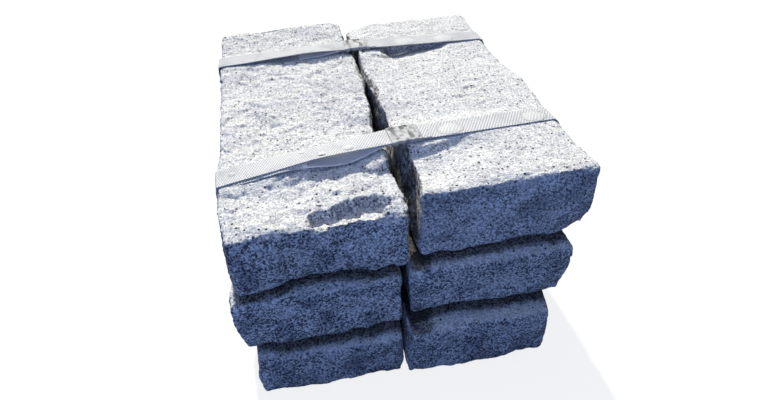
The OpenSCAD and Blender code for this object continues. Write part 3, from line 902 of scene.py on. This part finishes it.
# %% Water beads
# along the strap, across it, length, width and height, in metres
BEADS = {
    "strap_front": (
        (-0.202, 0.001, 0.0090, 0.0085, 0.0010), (-0.116, 0.009, 0.0070, 0.0070, 0.0009),
        (-0.093, -0.005, 0.0130, 0.0125, 0.0016), (-0.060, -0.006, 0.0145, 0.0115, 0.0015),
        (0.073, -0.003, 0.0350, 0.0260, 0.0009), (0.190, -0.003, 0.0350, 0.0260, 0.0009)),
    "strap_rear": (
        (0.080, -0.002, 0.0350, 0.0270, 0.0009), (0.147, -0.002, 0.0350, 0.0270, 0.0009)),
}
WIDER = 1.15
CLEAN_WATER = (0.645, 0.655, 0.66, 1)
SOILED_WATER = (0.56, 0.575, 0.585, 1)
UNEVEN = 0.35
water = ribbed_plastic("water", KNURL * WIDER, CLEAN_WATER, SOILED_WATER, 0.5, 0.35)

bpy.context.view_layer.update()
spots, extents, turns = [], [], []
for (node, beads), lane in zip(BEADS.items(), STRAP_LANES):
    for along, across, length, width, high in beads:
        place, normal = seen_from_above(straps[node], lane, along, across)
        leaning = Vector((0, 0, 1)).rotation_difference(normal).to_matrix()
        tilt = leaning @ Matrix.Rotation(lane[1], 3, "Z")
        spots.append(place)
        extents += (length / 2, width / 2, high)
        turns += tilt.to_euler()
mesh = bpy.data.meshes.new("water_beads")
mesh.from_pydata(spots, [], [])
mesh.attributes.new("extent", "FLOAT_VECTOR", "POINT").data.foreach_set("vector", extents)
mesh.attributes.new("turned", "FLOAT_VECTOR", "POINT").data.foreach_set("vector", turns)
beads = bpy.data.objects.new("water_beads", mesh)
bpy.context.scene.collection.objects.link(beads)
mesh = run_trees(beads, [(bead_tree, {"Uneven": UNEVEN, "Finish": water})])
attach(beads, "root")
print(beads.name, len(spots), "beads,", len(mesh.polygons), "faces")

# %% [markdown]
# Each seal is a sleeve of zinc-coated sheet, pressed with a crimping tool through both layers of
# strap. A single grey would look like plastic, so zinc spangles, grime, painted shade in the tool
# marks and the first spots of rust are laid over each other.

# %% Seal steel
# spangles, grimy patches and rust spots for each metre
SPANGLES = 260.0
GRIME_PATCHES = 120.0
RUST_SPOTS = 60.0
ZINC = (0.47, 0.48, 0.495, 1)
ZINC_SHADE = (0.20, 0.21, 0.23, 1)
# painted shade for the dents of the tool marks
CRIMP_SHADE = (0.085, 0.087, 0.094, 1)
GRIME = (0.17, 0.165, 0.16, 1)
RUST = (0.36, 0.24, 0.12, 1)

seal_steel, z = finish_named("seal_steel")
place = z.add("ShaderNodeTexCoord", None, None, out=3)
spangle = z.add("ShaderNodeTexVoronoi", None, {"Vector": place, "Scale": SPANGLES}, out=1)
shade = z.add("ShaderNodeSeparateColor", None, {0: spangle})
grime = z.noise(place, GRIME_PATCHES, 5.0, 0.7)
metal = z.blend(shade * 0.6, ZINC, ZINC_SHADE)
pressed = z.add("ShaderNodeAttribute", {"attribute_name": "pressed"}, None, out=2)
# painted shade: the dents of the tool marks are darkened
metal = z.blend(pressed.ramp(0.05, 0.6, 0.0, 0.9), metal, CRIMP_SHADE)
metal = z.blend(grime.ramp(0.46, 0.66, 0.0, 0.8), metal, GRIME)
rust = z.noise(place, RUST_SPOTS, 4.0, 0.6)
metal = z.blend(rust.ramp(0.60, 0.75, 0.0, 0.5), metal, RUST)
bump = z.add("ShaderNodeBump", None, {"Strength": 0.4, "Distance": 0.0005, "Height": grime})
close_finish(z, z.add("ShaderNodeBsdfPrincipled", None, {
    "Base Color": metal, "Metallic": 0.15, "Roughness": 0.55 + grime * 0.3,
    "Specular IOR Level": 0.3, "Normal": bump}))
print("seal steel has", len(seal_steel.node_tree.nodes), "nodes")

# %% [markdown]
# The crimping tool leaves marks of several sizes, strewn unevenly over the top. Even rows of dents
# would look like a printed stripe, so each mark is a row of numbers, and noise moves its border. The
# noise is given a seed, because it takes one from the clock otherwise.

# %% Tool marks
MARK_SEED = 1
noise.seed_set(MARK_SEED)
STRAY_ALONG = 0.06
STRAY_ACROSS = 0.2
# place along and across the seal as shares of its length and half its width, then size and depth
TOOL_MARKS = (
    (-0.34, 0.50, 0.10, 0.32, 0.8), (-0.27, -0.55, 0.07, 0.22, 0.5), (-0.11, -0.15, 0.11, 0.24, 0.7),
    (0.00, 0.62, 0.09, 0.26, 1.0), (0.13, 0.80, 0.08, 0.20, 1.0), (0.20, -0.45, 0.10, 0.30, 1.0),
    (0.37, 0.25, 0.06, 0.25, 0.6), (0.40, -0.75, 0.07, 0.20, 0.7))


def dent(along, across):
    """Depth of the tool marks on a seal's top, from 0 to 1, at shares of its length and half width."""
    stray = noise.noise_vector((along * 6, across * 3, 1.3))
    deepest = 0.0
    for row, column, length, width, depth in TOOL_MARKS:
        down = (along - row + STRAY_ALONG * stray.x) / length
        aside = (across - column + STRAY_ACROSS * stray.y) / width
        off = math.hypot(down, aside)
        deepest = max(deepest, (1 - off * off) * depth)
    return deepest


print(len(TOOL_MARKS), "tool marks on a seal")

# %% [markdown]
# A seal starts as a smooth sleeve around both layers of strap. The tool dents its top, leaves bulges
# between the dents and draws its sides in. The sleeve is lofted from rings of points: the outer skin
# takes the dents, and the inner one stays plain round the strap. It is measured from its CAD node.

# %% Crimped seals
SHEET = 0.001
STATIONS = 60
AROUND = 96
SIDE_ROUNDNESS = 0.22
TOP_ROUNDNESS = SIDE_ROUNDNESS * 1.6
# how far the sides are drawn in and how often, and how high the top bulges, dents and ripples
WAIST = 0.0011
WAISTS = 3
WAIST_PITCH = 1.23
BULGE = 0.0011
DENT = 0.0009
RIPPLE = 0.0005


def ring_points(half_width, half_height):
    """Points around a rounded rectangle, one for each even step of an angle."""
    points = []
    for step in range(AROUND):
        angle = 2 * math.pi * (step + 0.5) / AROUND
        across, up = math.cos(angle), math.sin(angle)
        points.append((half_width * math.copysign(abs(across) ** SIDE_ROUNDNESS, across),
                       half_height * math.copysign(abs(up) ** TOP_ROUNDNESS, up)))
    return points


def crimped_seal(node, lane):
    """Lofts the seal that replaces a CAD node, on its strap's lane."""
    place = lane_matrix(lane)
    corners = [place.inverted() @ v.co for v in cad[node].data.vertices]
    low = Vector(map(min, zip(*corners)))
    high = Vector(map(max, zip(*corners)))
    middle, half = (low + high) / 2, (high - low) / 2
    net = bmesh.new()
    pressed = net.verts.layers.float.new("pressed")
    skins = []
    for wall in (0.0, SHEET):
        rings = []
        for station in range(STATIONS + 1):
            share = station / STATIONS * 2 - 1
            drawn_in = 0.5 + 0.5 * math.cos(share * WAISTS * math.pi * WAIST_PITCH)
            waist = 0.0 if wall else WAIST * drawn_in
            ring = []
            for across, up in ring_points(half.y - wall - waist, half.z - wall):
                depth = 0.0
                if wall == 0 and up > 0:
                    depth = dent(share / 2, across / half.y)
                    bulge = 1 - abs(share) ** 4
                    up += BULGE * bulge * (1 - depth) - DENT * depth
                    wave = noise.noise((share * 5, across * 300, 4.2 + middle.y * 9))
                    up += RIPPLE * bulge * wave
                vert = net.verts.new(place @ (middle + Vector((share * half.x, across, up))))
                vert[pressed] = depth
                ring.append(vert)
            rings.append(ring)
        skins.append(rings)
    for wall, rings in enumerate(skins):
        for first, second in zip(rings, rings[1:]):
            for i in range(AROUND):
                j = (i + 1) % AROUND
                face = (first[i], first[j], second[j], second[i])
                net.faces.new(face if wall else face[::-1])
    for end in (0, -1):
        for i in range(AROUND):
            j = (i + 1) % AROUND
            face = (skins[0][end][i], skins[0][end][j], skins[1][end][j], skins[1][end][i])
            net.faces.new(face if end == 0 else face[::-1])
    bmesh.ops.recalc_face_normals(net, faces=net.faces)
    mesh = bpy.data.meshes.new(node + "_crimped")
    net.to_mesh(mesh)
    net.free()
    mesh.materials.append(seal_steel)
    mesh.shade_smooth()
    piece = bpy.data.objects.new(mesh.name, mesh)
    bpy.context.scene.collection.objects.link(piece)
    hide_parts(node)
    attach(piece, "root")
    print(piece.name, len(mesh.polygons), "faces")


for node, lane in zip(("seal_front", "seal_rear"), STRAP_LANES):
    crimped_seal(node, lane)

# %% [markdown]
# The dressed object has to stay the size of the solids, so both boxes are written down to compare.

# %% Size and finish
low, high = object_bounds()
print("visual box in mm:", [round(1000 * s) for s in high - low])
